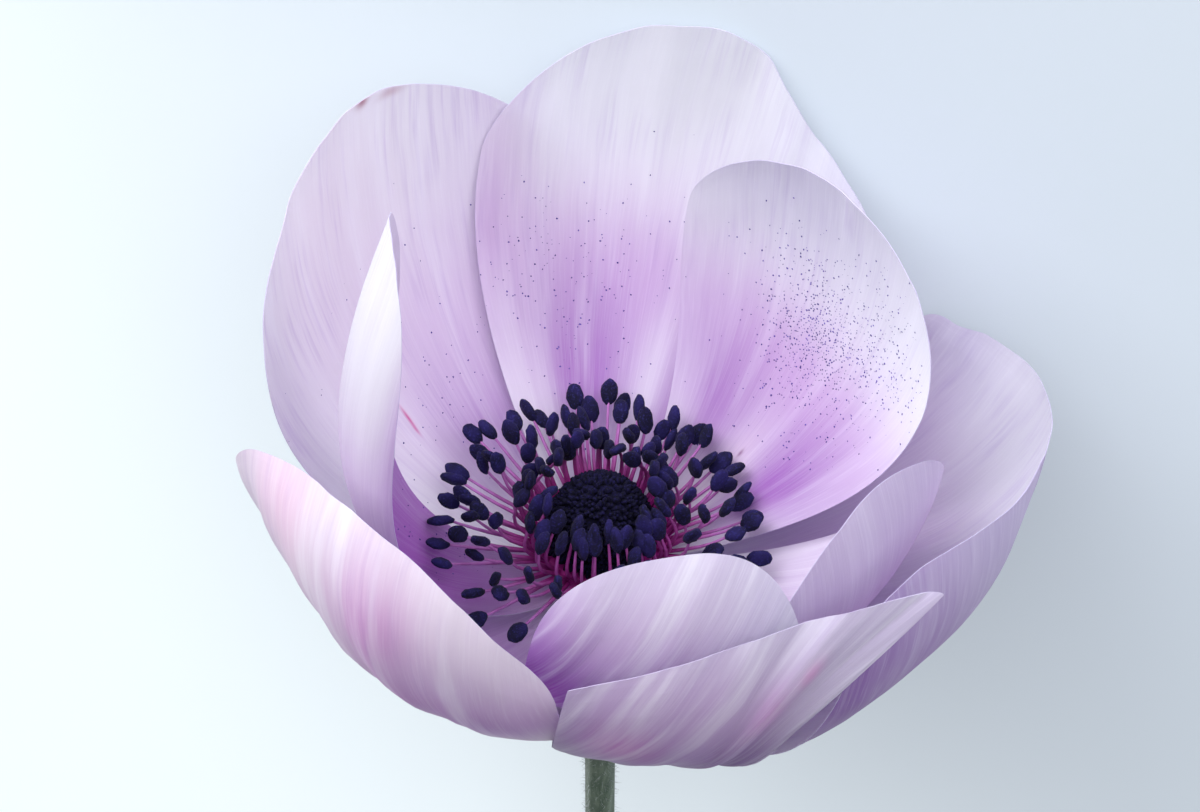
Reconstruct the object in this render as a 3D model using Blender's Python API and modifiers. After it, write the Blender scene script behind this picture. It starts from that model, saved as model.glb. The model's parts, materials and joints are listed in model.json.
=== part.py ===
"""A cut anemone flower lying on its back petals, with its bare stem behind it.

The bloom is modelled in its own frame, in metres: the stem's axis is +Z, the petals grow from the
height 0 upwards, and azimuths turn counterclockwise from +X. One empty then lays it down, so that the
bloom faces -Y and the stem runs towards +Y, with the surface it rests on at height 0.
"""

import math
import random

import bmesh
import bpy
from mathutils import Matrix, Vector
from mathutils.kdtree import KDTree

MM = 0.001

# How the flower lies: the azimuth that faces the surface, how far the bloom's axis is lifted from it,
# and where the petals' base stands above the middle of the object's footprint.
DOWN_AZIMUTH = math.radians(70.1)
AXIS_LIFT = math.radians(13.27)
BLOOM_AT = Vector((4.414, -27.828, 25.546)) * MM

# Petals
PETAL_THICKNESS = 0.6 * MM
CLAW_WIDTH = 5.6 * MM
FIRST_BASE_RADIUS = 3.2 * MM
BASE_RADIUS_STEP = 0.08 * MM
LAYER_STEP = 0.93 * MM
LENGTH_CELLS = 12
WIDTH_CELLS = 10
PINCH_PLACE = 1.65
ARC_SAMPLES = 60

# Stem and receptacle
STEM_RADIUS = 1.5 * MM
STEM_LENGTH = 105 * MM
RECEPTACLE_RADIUS = 2.45 * MM
RECEPTACLE_TOP = 5.0 * MM
CUSHION_RADIUS = 3.9 * MM
CUSHION_TOP = -0.65 * MM
NECK_DEPTH = 5.0 * MM
TURNED_SIDES = 18

# Carpels
DOME_RADIUS = 4.8 * MM
DOME_BOTTOM = 6.9 * MM
DOME_TOP = 13.6 * MM
PLUG_RADIUS = 2.2 * MM
CARPEL_COUNT = 52
CARPEL_RADIUS = 0.6 * MM
CARPEL_SPREAD = 0.88

# Stamens
COLLAR_INNER = 2.8 * MM
COLLAR_OUTER = 5.8 * MM
COLLAR_BOTTOM = 5.5 * MM
COLLAR_TOP = 6.5 * MM
STAMEN_COUNT = 150
CROWD_COUNT = 55
STAMEN_SEED = 21
FILAMENT_RADIUS = 0.3 * MM
FILAMENT_SIDES = 3
ROOT_DEPTH = 0.7 * MM
ANTHER_LENGTH = 2.5 * MM
ANTHER_WIDTH = 1.35 * MM
UPRIGHT_REACH = 7.4 * MM
CROWD_REACH = (5.4 * MM, 7.8 * MM)
CROWD_HEIGHT = (13.2 * MM, 11.8 * MM)
OUTER_REACH = (8.6 * MM, 15.3 * MM)
OUTER_HEIGHT = (11.4 * MM, 8.5 * MM)
OUTER_CROWDING = 0.75
REACH_SCATTER = 0.5 * MM
HEIGHT_SCATTER = 0.9 * MM
TURN_SCATTER = 0.08
ANTHER_CLEARANCE = 1.75 * MM
GOLDEN_ANGLE = math.pi * (3 - math.sqrt(5))

# Each petal: where it grows, its flat outline, how it rises and how it is hollowed.
#   azimuth, layer         direction from the axis in degrees, and place from the outermost layer inwards
#   length, width          flat size in millimetres
#   rise                   slope above level at the base, halfway and at the tip, in degrees
#   hollow                 curvature across the petal at the base and at the tip, per metre
#   lean, twist            how far the tip turns sideways and rolls, in degrees
#   shoulder, fullness     where the sides end as a share of the length, and how late they widen
#   tip                    2 is an elliptic end, less is more pointed and more is squarer
#   slant, one_sided       how much longer the counterclockwise side is, and how much more hollow
#   pinch                  how much narrower that side is where it is narrowed most
PETALS = {
    "petal_front_outer": dict(
        azimuth=282.8, layer=0, length=53.0, width=29.7, rise=(-5.5, 42.6, 111.4), hollow=(21.7, 15.2),
        lean=13.4, twist=-14.1, shoulder=0.951, fullness=0.889, tip=1.52, slant=0.167, one_sided=-0.46, pinch=0.668,
    ),
    "petal_left_front": dict(
        azimuth=223.8, layer=1, length=51.7, width=43.9, rise=(-1, 48, 125), hollow=(17, 37),
        lean=-0.7, twist=-10, shoulder=0.67, fullness=0.94, tip=2.2, slant=0.03, one_sided=0.46, pinch=0,
    ),
    "petal_right": dict(
        azimuth=-18.4, layer=1, length=49.8, width=58.2, rise=(2.4, 30.2, 88.8), hollow=(9, 33),
        lean=13.6, twist=3.8, shoulder=0.67, fullness=0.9, tip=3, slant=-0.045, one_sided=-0.1, pinch=0,
    ),
    "petal_left_back": dict(
        azimuth=137, layer=2, length=53.8, width=44.1, rise=(-1.6, 55.6, 91), hollow=(25, 34),
        lean=-4.8, twist=2.8, shoulder=0.64, fullness=0.95, tip=1.86, slant=0, one_sided=0, pinch=0,
    ),
    "petal_front_inner": dict(
        azimuth=279.8, layer=2, length=49.6, width=24.2, rise=(4.6, 49.6, 130.5), hollow=(18, 26),
        lean=1.8, twist=-17.2, shoulder=0.69, fullness=1.01, tip=2.8, slant=0.03, one_sided=-0.07, pinch=0,
    ),
    "petal_left_inner": dict(
        azimuth=198, layer=3, length=59.4, width=18.8, rise=(-6.4, 80.5, 115), hollow=(89, 123),
        lean=-12, twist=-21.7, shoulder=0.68, fullness=1.07, tip=2.1, slant=0, one_sided=-0.06, pinch=0,
    ),
    "petal_back": dict(
        azimuth=77.5, layer=3, length=53.6, width=41.0, rise=(3.2, 53.3, 84.8), hollow=(32, 26),
        lean=-10.6, twist=-3.4, shoulder=0.66, fullness=0.92, tip=1.6, slant=0.03, one_sided=0.05, pinch=0,
    ),
    "petal_right_inner": dict(
        azimuth=323.6, layer=3, length=48.5, width=28.8, rise=(3.6, 45.8, 115.5), hollow=(35, 35),
        lean=0, twist=-2.4, shoulder=0.66, fullness=0.95, tip=2, slant=-0.03, one_sided=-0.09, pinch=0,
    ),
    "petal_right_back": dict(
        azimuth=31.6, layer=4, length=46.8, width=34.2, rise=(5.4, 60.9, 95.2), hollow=(40, 26),
        lean=-3.5, twist=8.1, shoulder=0.735, fullness=1.28, tip=1.9, slant=0, one_sided=0.16, pinch=0,
    ),
}

PETAL_COLOUR = (0.62, 0.45, 0.80, 1)
STEM_COLOUR = (0.05, 0.08, 0.06, 1)
CARPEL_COLOUR = (0.01, 0.01, 0.03, 1)
STAMEN_COLOUR = (0.03, 0.02, 0.07, 1)


def clear_scene():
    for old in list(bpy.data.objects):
        bpy.data.objects.remove(old, do_unlink=True)


def make_collection(name):
    collection = bpy.data.collections.new(name)
    bpy.context.scene.collection.children.link(collection)
    return collection


def make_material(name, colour, roughness):
    material = bpy.data.materials.new(name)
    material.use_nodes = True
    shader = material.node_tree.nodes["Principled BSDF"]
    shader.inputs["Base Color"].default_value = colour
    shader.inputs["Roughness"].default_value = roughness
    shader.inputs["Metallic"].default_value = 0
    return material


def object_from_bmesh(name, shape, collection):
    mesh = bpy.data.meshes.new(name)
    shape.to_mesh(mesh)
    shape.free()
    made = bpy.data.objects.new(name, mesh)
    collection.objects.link(made)
    return made


def apply_modifiers(piece):
    """Replaces the object's mesh with its evaluated one and drops its modifiers."""
    graph = bpy.context.evaluated_depsgraph_get()
    finished = bpy.data.meshes.new_from_object(piece.evaluated_get(graph))
    piece.modifiers.clear()
    piece.data = finished


def petal_midline(petal):
    """Distance from the axis, height and sideways drift along the petal's middle, with its slope and lean."""
    base, middle, tip = (math.radians(angle) for angle in petal["rise"])
    longest = 1.15
    step = petal["length"] * MM * longest / (ARC_SAMPLES - 1)
    away = FIRST_BASE_RADIUS - BASE_RADIUS_STEP * petal["layer"]
    up = LAYER_STEP * petal["layer"]
    aside = 0.0
    line = []
    for i in range(ARC_SAMPLES):
        along = longest * i / (ARC_SAMPLES - 1)
        slope = base * (1 - along) * (1 - 2 * along)
        slope += middle * 4 * along * (1 - along)
        slope += tip * along * (2 * along - 1)
        lean = math.radians(petal["lean"]) * along
        line.append((away, up, aside, slope, lean))
        away += step * math.cos(slope) * math.cos(lean)
        up += step * math.sin(slope) * math.cos(lean)
        aside += step * math.sin(lean)
    return line, longest


def sample(line, longest, along):
    """The midline's values at a share of the petal's length."""
    place = min(max(along / longest, 0), 1) * (len(line) - 1)
    low = min(int(place), len(line) - 2)
    share = place - low
    return [a + (b - a) * share for a, b in zip(line[low], line[low + 1])]


def petal_point(petal, midline, along, across):
    """A point of the petal's middle surface: along runs 0 to 1 from the base, across -1 to 1."""
    line, longest = midline
    half_claw = CLAW_WIDTH / 2
    half_width = petal["width"] * MM / 2
    half = half_claw + (half_width - half_claw) * math.sin(math.pi / 2 * along) ** petal["fullness"]
    if across > 0:
        half *= 1 - petal["pinch"] * math.sin(math.pi * along**PINCH_PLACE)
    end = max(1 - abs(across) ** petal["tip"], 0) ** (1 / petal["tip"])
    reach = along * (petal["shoulder"] + (1 - petal["shoulder"]) * end) * (1 + petal["slant"] * across * along)
    away, up, aside, slope, lean = sample(line, longest, reach)
    near, far = petal["hollow"]
    bend = (near + (far - near) * reach) * (1 + petal["one_sided"] * across)
    width = across * half
    flat = math.sin(bend * width) / bend
    raised = (1 - math.cos(bend * width)) / bend
    roll = math.radians(petal["twist"]) * reach
    sideways = flat * math.cos(roll) - raised * math.sin(roll)
    inwards = flat * math.sin(roll) + raised * math.cos(roll)
    out = away - inwards * math.sin(slope) - sideways * math.sin(lean) * math.cos(slope)
    height = up + inwards * math.cos(slope) - sideways * math.sin(lean) * math.sin(slope)
    beside = aside + sideways * math.cos(lean)
    turn = math.radians(petal["azimuth"])
    x = out * math.cos(turn) - beside * math.sin(turn)
    y = out * math.sin(turn) + beside * math.cos(turn)
    return Vector((x, y, height))


def make_petal(name, collection, material):
    petal = PETALS[name]
    midline = petal_midline(petal)
    shape = bmesh.new()
    bmesh.ops.create_grid(shape, x_segments=WIDTH_CELLS, y_segments=LENGTH_CELLS, size=1)
    for vertex in shape.verts:
        along = (vertex.co.y + 1) / 2
        across = math.sin(math.pi / 2 * vertex.co.x)
        vertex.co = petal_point(petal, midline, along, across)
    bmesh.ops.triangulate(shape, faces=shape.faces[:])
    blade = object_from_bmesh(name, shape, collection)
    blade.data.shade_smooth()
    blade.data.materials.append(material)
    thicken = blade.modifiers.new("thickness", "SOLIDIFY")
    thicken.thickness = PETAL_THICKNESS
    thicken.offset = 0
    thicken.use_even_offset = True
    thicken.use_quality_normals = True
    return blade


def petal_tree():
    """All petals' middle surfaces as points, to keep the stamens clear of them."""
    rows = 40
    points = []
    for petal in PETALS.values():
        midline = petal_midline(petal)
        for i in range(rows + 1):
            for j in range(rows + 1):
                across = math.sin(math.pi / 2 * (2 * j / rows - 1))
                points.append(petal_point(petal, midline, i / rows, across))
    tree = KDTree(len(points))
    for index, point in enumerate(points):
        tree.insert(point, index)
    tree.balance()
    return tree


def make_turned(name, profile, collection, material, closed=False):
    """A profile of (radius, height) turned about the axis; it runs down its outer side."""
    shape = bmesh.new()
    corners = [shape.verts.new((radius, 0, height)) for radius, height in profile]
    if closed:
        corners.append(corners[0])
    for start, end in zip(corners, corners[1:]):
        shape.edges.new((start, end))
    turned = object_from_bmesh(name, shape, collection)
    turned.data.materials.append(material)
    screw = turned.modifiers.new("turn", "SCREW")
    screw.steps = TURNED_SIDES
    screw.render_steps = TURNED_SIDES
    screw.use_merge_vertices = True
    screw.merge_threshold = 1e-5
    screw.use_smooth_shade = True
    return turned


def make_stem(collection, material):
    neck = 6
    profile = [(0, RECEPTACLE_TOP), (RECEPTACLE_RADIUS, RECEPTACLE_TOP), (RECEPTACLE_RADIUS, CUSHION_TOP)]
    for i in range(neck + 1):
        share = i / neck
        ease = (1 - math.cos(math.pi * share)) / 2
        radius = CUSHION_RADIUS + (STEM_RADIUS - CUSHION_RADIUS) * ease
        profile.append((radius, CUSHION_TOP - NECK_DEPTH * share))
    profile += [(STEM_RADIUS, -STEM_LENGTH), (0, -STEM_LENGTH)]
    return make_turned("stem", profile, collection, material)


def dome_point(polar, turn):
    """A point of the dome at an angle down from its top and an azimuth."""
    radius = DOME_RADIUS * math.sin(polar)
    height = DOME_BOTTOM + (DOME_TOP - DOME_BOTTOM) * math.cos(polar)
    return Vector((radius * math.cos(turn), radius * math.sin(turn), height))


def join_all(piece, helpers, solver):
    """Unites the piece with every object of the helpers' collection, then drops that collection."""
    union = piece.modifiers.new("join", "BOOLEAN")
    union.operation = "UNION"
    union.operand_type = "COLLECTION"
    union.collection = helpers
    union.solver = solver
    apply_modifiers(piece)
    for helper in list(helpers.objects):
        bpy.data.objects.remove(helper, do_unlink=True)
    bpy.data.collections.remove(helpers)


def place_blob(name, centre, direction, length, width, collection):
    """A low round body stretched along a direction."""
    shape = bmesh.new()
    bmesh.ops.create_icosphere(shape, subdivisions=1, radius=0.5)
    turn = direction.to_track_quat("Z", "Y").to_matrix().to_4x4()
    size = Matrix.Diagonal((width, width, length, 1))
    bmesh.ops.transform(shape, matrix=Matrix.Translation(centre) @ turn @ size, verts=shape.verts)
    return object_from_bmesh(name, shape, collection)


def make_carpels(collection, material):
    rings = 6
    profile = [(0, DOME_TOP)]
    for i in range(1, rings + 1):
        edge = dome_point(math.pi / 2 * i / rings, 0)
        profile.append((edge.x, edge.z))
    profile += [(PLUG_RADIUS, DOME_BOTTOM - 0.1 * MM), (PLUG_RADIUS, RECEPTACLE_TOP + 0.3 * MM)]
    profile.append((0, RECEPTACLE_TOP + 0.3 * MM))
    dome = make_turned("carpels", profile, collection, material)
    apply_modifiers(dome)
    helpers = make_collection("carpel_tips")
    for i in range(CARPEL_COUNT):
        polar = math.acos(1 - CARPEL_SPREAD * (i + 0.5) / CARPEL_COUNT)
        foot = dome_point(polar, i * GOLDEN_ANGLE)
        outward = Vector((foot.x, foot.y, foot.z - DOME_BOTTOM + 1 * MM)).normalized()
        place_blob(f"carpel_{i}", foot, outward, 2.4 * CARPEL_RADIUS, 2 * CARPEL_RADIUS, helpers)
    join_all(dome, helpers, "EXACT")
    return dome


def filament_path(turn, reach, height, root_height):
    """Root, bend and tip of a filament that leaves the collar sideways and then rises."""
    outward = Vector((math.cos(turn), math.sin(turn), 0))
    root = outward * (COLLAR_OUTER - ROOT_DEPTH) + Vector((0, 0, root_height))
    tip = outward * reach + Vector((0, 0, height))
    bow = 1.5 * MM - 0.1 * (reach - UPRIGHT_REACH)
    bend = root.lerp(tip, 0.5) + outward * bow
    return [root, bend, tip]


def make_filament(name, path, collection):
    """A tapering rod of few sides through the path's points."""
    shape = bmesh.new()
    rings = []
    for i, point in enumerate(path):
        before = path[max(i - 1, 0)]
        after = path[min(i + 1, len(path) - 1)]
        turn = (after - before).to_track_quat("Z", "Y").to_matrix()
        ring = []
        for side in range(FILAMENT_SIDES):
            angle = 2 * math.pi * side / FILAMENT_SIDES
            offset = turn @ Vector((math.cos(angle), math.sin(angle), 0)) * FILAMENT_RADIUS
            ring.append(shape.verts.new(point + offset))
        rings.append(ring)
    for low, high in zip(rings, rings[1:]):
        for side in range(FILAMENT_SIDES):
            beside = (side + 1) % FILAMENT_SIDES
            shape.faces.new((low[side], low[beside], high[beside], high[side]))
    shape.faces.new(reversed(rings[0]))
    shape.faces.new(rings[-1])
    return object_from_bmesh(name, shape, collection)


def between(ends, share):
    return ends[0] + (ends[1] - ends[0]) * share


def stamen_paths():
    """Every filament's path: a crowd round the dome first, then the outer ones, bent clear of the petals."""
    draw = random.Random(STAMEN_SEED)
    tree = petal_tree()
    paths = []
    for i in range(STAMEN_COUNT):
        turn = i * GOLDEN_ANGLE + draw.uniform(-TURN_SCATTER, TURN_SCATTER)
        if i < CROWD_COUNT:
            place = (i + 0.5) / CROWD_COUNT
            reach, height = between(CROWD_REACH, place), between(CROWD_HEIGHT, place)
        else:
            place = (i - CROWD_COUNT + 0.5) / (STAMEN_COUNT - CROWD_COUNT)
            reach, height = between(OUTER_REACH, place**OUTER_CROWDING), between(OUTER_HEIGHT, place)
        reach += draw.uniform(-REACH_SCATTER, REACH_SCATTER)
        height += draw.uniform(-HEIGHT_SCATTER, HEIGHT_SCATTER)
        root_height = COLLAR_TOP - (0.35 + 0.3 * i / STAMEN_COUNT) * MM
        path = filament_path(turn, reach, height, root_height)
        while min(tree.find(point)[2] for point in path[1:]) < ANTHER_CLEARANCE:
            reach *= 0.97
            height += 0.12 * MM
            path = filament_path(turn, reach, height, root_height)
        paths.append(path)
    return paths


def make_stamens(collection, material):
    profile = [
        (COLLAR_INNER, COLLAR_TOP),
        (COLLAR_OUTER, COLLAR_TOP),
        (COLLAR_OUTER, COLLAR_BOTTOM),
        (COLLAR_INNER, COLLAR_BOTTOM),
    ]
    collar = make_turned("stamens", profile, collection, material, closed=True)
    apply_modifiers(collar)
    helpers = make_collection("stamen_pieces")
    for i, path in enumerate(stamen_paths()):
        make_filament(f"filament_{i}", path, helpers)
        direction = (path[2] - path[1]).normalized()
        centre = path[2] + direction * ANTHER_LENGTH * 0.25
        place_blob(f"anther_{i}", centre, direction, ANTHER_LENGTH, ANTHER_WIDTH, helpers)
    join_all(collar, helpers, "MANIFOLD")
    return collar


def lay_down(pieces, collection):
    """Parents the pieces to an empty that turns the bloom on its back and sets it on the surface."""
    across = Vector((math.sin(DOWN_AZIMUTH), -math.cos(DOWN_AZIMUTH), 0))
    down = Vector((math.cos(DOWN_AZIMUTH), math.sin(DOWN_AZIMUTH), 0))
    axis = Vector((0, 0, 1))
    bloom_frame = Matrix((across, down, axis))
    across_lies = Vector((-1, 0, 0))
    down_lies = Vector((0, -math.sin(AXIS_LIFT), -math.cos(AXIS_LIFT)))
    axis_lies = Vector((0, -math.cos(AXIS_LIFT), math.sin(AXIS_LIFT)))
    lying_frame = Matrix((across_lies, down_lies, axis_lies)).transposed()
    turn = lying_frame @ bloom_frame
    flower = bpy.data.objects.new("flower", None)
    collection.objects.link(flower)
    flower.matrix_world = Matrix.Translation(BLOOM_AT) @ turn.to_4x4()
    for piece in pieces:
        piece.parent = flower
    return flower


def main():
    clear_scene()
    collection = make_collection("anemone_flower")
    stem_material = make_material("stem", STEM_COLOUR, 0.6)
    petal_material = make_material("petal", PETAL_COLOUR, 0.5)
    carpel_material = make_material("carpel", CARPEL_COLOUR, 0.6)
    stamen_material = make_material("stamen", STAMEN_COLOUR, 0.6)
    pieces = [make_stem(collection, stem_material)]
    for name in PETALS:
        pieces.append(make_petal(name, collection, petal_material))
    pieces.append(make_carpels(collection, carpel_material))
    pieces.append(make_stamens(collection, stamen_material))
    lay_down(pieces, collection)


main()
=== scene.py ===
import json
import math
import random

import bmesh
import bpy
import numpy as np
from mathutils import Matrix, Vector
from mathutils.kdtree import KDTree

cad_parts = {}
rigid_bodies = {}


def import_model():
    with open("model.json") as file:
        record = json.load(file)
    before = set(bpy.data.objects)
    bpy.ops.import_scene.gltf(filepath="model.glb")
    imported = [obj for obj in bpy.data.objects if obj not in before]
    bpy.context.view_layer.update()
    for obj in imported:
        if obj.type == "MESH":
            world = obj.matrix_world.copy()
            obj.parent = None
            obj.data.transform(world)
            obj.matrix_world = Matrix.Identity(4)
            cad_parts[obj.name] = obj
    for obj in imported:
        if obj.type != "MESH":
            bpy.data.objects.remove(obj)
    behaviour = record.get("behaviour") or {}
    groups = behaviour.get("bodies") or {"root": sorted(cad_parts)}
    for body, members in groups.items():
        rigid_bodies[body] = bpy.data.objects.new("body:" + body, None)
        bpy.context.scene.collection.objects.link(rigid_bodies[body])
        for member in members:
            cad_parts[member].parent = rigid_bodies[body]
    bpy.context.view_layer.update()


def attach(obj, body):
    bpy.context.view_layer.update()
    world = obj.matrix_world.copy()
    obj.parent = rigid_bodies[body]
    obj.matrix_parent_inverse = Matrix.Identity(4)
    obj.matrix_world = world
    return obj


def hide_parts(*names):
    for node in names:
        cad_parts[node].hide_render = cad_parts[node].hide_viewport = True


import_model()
mm = 0.001

# how the flower lies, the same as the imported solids
lying = {
    "downAzimuth": 70.1,          # side of the bloom that faces the surface, in degrees
    "axisLift": 13.27,            # how far the bloom's axis is lifted, in degrees
    "bloomAt": (4.414, -27.828, 25.546),   # petals' base, in millimetres
}


def makeLyingMatrix():
    down, lift = math.radians(lying["downAzimuth"]), math.radians(lying["axisLift"])
    bloomAxes = Matrix((
        (math.sin(down), -math.cos(down), 0),
        (math.cos(down), math.sin(down), 0),
        (0, 0, 1),
    ))
    lyingAxes = Matrix((
        (-1, 0, 0),
        (0, -math.sin(lift), -math.cos(lift)),
        (0, -math.cos(lift), math.sin(lift)),
    )).transposed()
    return Matrix.Translation(Vector(lying["bloomAt"]) * mm) @ (lyingAxes @ bloomAxes).to_4x4()


toWorld = makeLyingMatrix()
turnOnly = np.array(toWorld.to_3x3())
shiftOnly = np.array(toWorld.translation)


def toWorldPoints(points):
    return points @ turnOnly.T + shiftOnly


# small helpers
def meshObject(name, vertices, faces, edges=()):
    mesh = bpy.data.meshes.new(name)
    mesh.from_pydata([tuple(v) for v in vertices], list(edges), [tuple(f) for f in faces])
    mesh.update()
    made = bpy.data.objects.new(name, mesh)
    bpy.context.scene.collection.objects.link(made)
    return made


def plainMesh(piece):
    # turns what the modifiers give into a plain mesh
    graph = bpy.context.evaluated_depsgraph_get()
    done = bpy.data.meshes.new_from_object(piece.evaluated_get(graph))
    piece.modifiers.clear()
    piece.data = done


def finishPiece(piece, slot, *nodes):
    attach(piece, "root")
    if nodes:
        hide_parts(*nodes)


def rampUp(x, low, high):
    share = np.clip((x - low) / (high - low), 0, 1)
    return share * share * (3 - 2 * share)


def softNoise(u, v, seed):
    # smooth random field between -1 and 1, one lattice cell per unit
    table = np.random.default_rng(seed).uniform(-1, 1, (64, 64))
    u, v = u + 17.3, v + 11.7
    i, j = np.floor(u).astype(int), np.floor(v).astype(int)
    a, b = u - i, v - j
    a, b = a * a * (3 - 2 * a), b * b * (3 - 2 * b)
    p = lambda x, y: table[x % 64, y % 64]
    return (p(i, j) * (1 - a) * (1 - b) + p(i + 1, j) * a * (1 - b)
            + p(i, j + 1) * (1 - a) * b + p(i + 1, j + 1) * a * b)


# shader helpers
def newMaterial(name):
    material = bpy.data.materials.new(name)
    material.use_nodes = True
    material.node_tree.nodes.clear()
    return material


def addNode(tree, kind, inputs=None, **settings):
    made = tree.nodes.new(kind)
    for key, value in settings.items():
        setattr(made, key, value)
    for key, value in (inputs or {}).items():
        socket = made.inputs[key]
        if isinstance(value, bpy.types.NodeSocket):
            tree.links.new(value, socket)
        else:
            socket.default_value = value
    return made


def maths(tree, operation, a, b=0.0, c=0.0):
    return addNode(tree, "ShaderNodeMath", {0: a, 1: b, 2: c}, operation=operation).outputs[0]


def clampRange(tree, value, low, high, toLow=0.0, toHigh=1.0):
    made = addNode(tree, "ShaderNodeMapRange", {0: value, 1: low, 2: high, 3: toLow, 4: toHigh},
                   interpolation_type="SMOOTHSTEP")
    return made.outputs[0]


def mixColours(tree, amount, a, b, blend="MIX"):
    made = tree.nodes.new("ShaderNodeMix")
    made.data_type = "RGBA"
    made.blend_type = blend
    for index, value in ((0, amount), (6, a), (7, b)):
        if isinstance(value, bpy.types.NodeSocket):
            tree.links.new(value, made.inputs[index])
        else:
            made.inputs[index].default_value = value
    return made.outputs[2]


def noiseAt(tree, vector, scale, detail=2.0, rough=0.5):
    made = addNode(tree, "ShaderNodeTexNoise", {
        "Vector": vector, "Scale": scale, "Detail": detail, "Roughness": rough})
    return made.outputs[0]


def objectPlace(tree):
    return addNode(tree, "ShaderNodeTexCoord").outputs["Object"]


def bumpFrom(tree, height, strength, distance):
    # distance in metres
    made = addNode(tree, "ShaderNodeBump", {"Strength": strength, "Distance": distance, "Height": height})
    return made.outputs[0]


def srgb(r, g, b):
    # 0-255 screen colour to the linear colour that the shaders use
    lin = [((c / 255) / 12.92 if c <= 10 else ((c / 255 + 0.055) / 1.055) ** 2.4) for c in (r, g, b)]
    return (*lin, 1.0)


# petals
petalBuild = {
    "rows": 132,            # cells from base to rim
    "columns": 100,         # cells from side to side
    "thickness": 0.36,      # millimetres at the middle
    "thinnest": 0.2,        # share of that at the rim
    "claw": 5.6,
    "baseRadius": 3.2,
    "baseStep": 0.08,
    "layerStep": 0.93,
    "pinchPlace": 1.65,
    "keepClear": 0.45,      # relief stays this far from the next petal, in millimetres
    "roomShare": 0.45,      # and takes up at most this share of the room beyond it
    "rimWidth": 0.22,       # share of the half width over which the blade thins
    "sharpAngle": 40,       # degrees; the rim's corners stay crisp
}

# azimuth, layer, length, width, rise, hollow, lean, twist, shoulder, fullness, tip, slant, oneSided and
# pinch are the solids' own values; ribs and waves are heights in millimetres, ribSlant is how far the ribs
# run sideways, and edge lists (across, change of length)
petals = {
    "petal_front_outer": dict(
        azimuth=282.8, layer=0, length=53.0, width=29.7, rise=(-5.5, 42.6, 111.4), hollow=(21.7, 15.2),
        lean=13.4, twist=-14.1, shoulder=0.951, fullness=0.889, tip=1.52, slant=0.167, oneSided=-0.46,
        pinch=0.668,
        ribs=0.42, ribCount=9, ribSlant=0.5, waves=0.3, edge=(),
    ),
    "petal_left_front": dict(
        azimuth=223.8, layer=1, length=51.7, width=43.9, rise=(-1, 48, 125), hollow=(17, 37),
        lean=-0.7, twist=-10, shoulder=0.67, fullness=0.94, tip=2.2, slant=0.03, oneSided=0.46, pinch=0,
        ribs=0.42, ribCount=11, ribSlant=-0.15, waves=0.35, edge=(),
    ),
    "petal_right": dict(
        azimuth=-18.4, layer=1, length=49.8, width=58.2, rise=(2.4, 30.2, 88.8), hollow=(9, 33),
        lean=13.6, twist=3.8, shoulder=0.67, fullness=0.9, tip=3, slant=-0.045, oneSided=-0.1, pinch=0,
        ribs=0.12, ribCount=14, ribSlant=0, waves=0.5,
        edge=((0.6, 0), (0.8, -0.03), (0.9, -0.09), (1, -0.09)),
    ),
    "petal_left_back": dict(
        azimuth=137, layer=2, length=53.8, width=44.1, rise=(-1.6, 55.6, 91), hollow=(25, 34),
        lean=-4.8, twist=2.8, shoulder=0.64, fullness=0.95, tip=1.86, slant=0, oneSided=0, pinch=0,
        ribs=0.14, ribCount=12, ribSlant=0, waves=0.5, edge=(),
    ),
    "petal_front_inner": dict(
        azimuth=279.8, layer=2, length=49.6, width=24.2, rise=(4.6, 49.6, 130.5), hollow=(18, 26),
        lean=1.8, twist=-17.2, shoulder=0.69, fullness=1.01, tip=2.8, slant=0.03, oneSided=-0.07, pinch=0,
        ribs=0.28, ribCount=7, ribSlant=1.05, waves=0.2, edge=(),
    ),
    "petal_left_inner": dict(
        azimuth=198, layer=3, length=59.4, width=18.8, rise=(-6.4, 80.5, 115), hollow=(89, 123),
        lean=-12, twist=-21.7, shoulder=0.68, fullness=1.07, tip=2.1, slant=0, oneSided=-0.06, pinch=0,
        ribs=0.12, ribCount=6, ribSlant=0, waves=0.15, edge=(),
    ),
    "petal_back": dict(
        azimuth=77.5, layer=3, length=53.6, width=41.0, rise=(3.2, 53.3, 84.8), hollow=(32, 26),
        lean=-10.6, twist=-3.4, shoulder=0.66, fullness=0.92, tip=1.6, slant=0.03, oneSided=0.05, pinch=0,
        ribs=0.15, ribCount=9, ribSlant=0, waves=0.5,
        edge=((-1, 0), (-0.85, -0.02), (-0.7, -0.04), (-0.5, -0.045), (-0.3, -0.02), (-0.2, 0)),
    ),
    "petal_right_inner": dict(
        azimuth=323.6, layer=3, length=48.5, width=28.8, rise=(3.6, 45.8, 115.5), hollow=(35, 35),
        lean=0, twist=-2.4, shoulder=0.66, fullness=0.95, tip=2, slant=-0.03, oneSided=-0.09, pinch=0,
        ribs=0.12, ribCount=6, ribSlant=0.1, waves=0.2, edge=(),
    ),
    "petal_right_back": dict(
        azimuth=31.6, layer=4, length=46.8, width=34.2, rise=(5.4, 60.9, 95.2), hollow=(40, 26),
        lean=-3.5, twist=8.1, shoulder=0.735, fullness=1.28, tip=1.9, slant=0, oneSided=0.16, pinch=0,
        ribs=0.1, ribCount=10, ribSlant=0, waves=0.3, edge=(),
    ),
}


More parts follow.
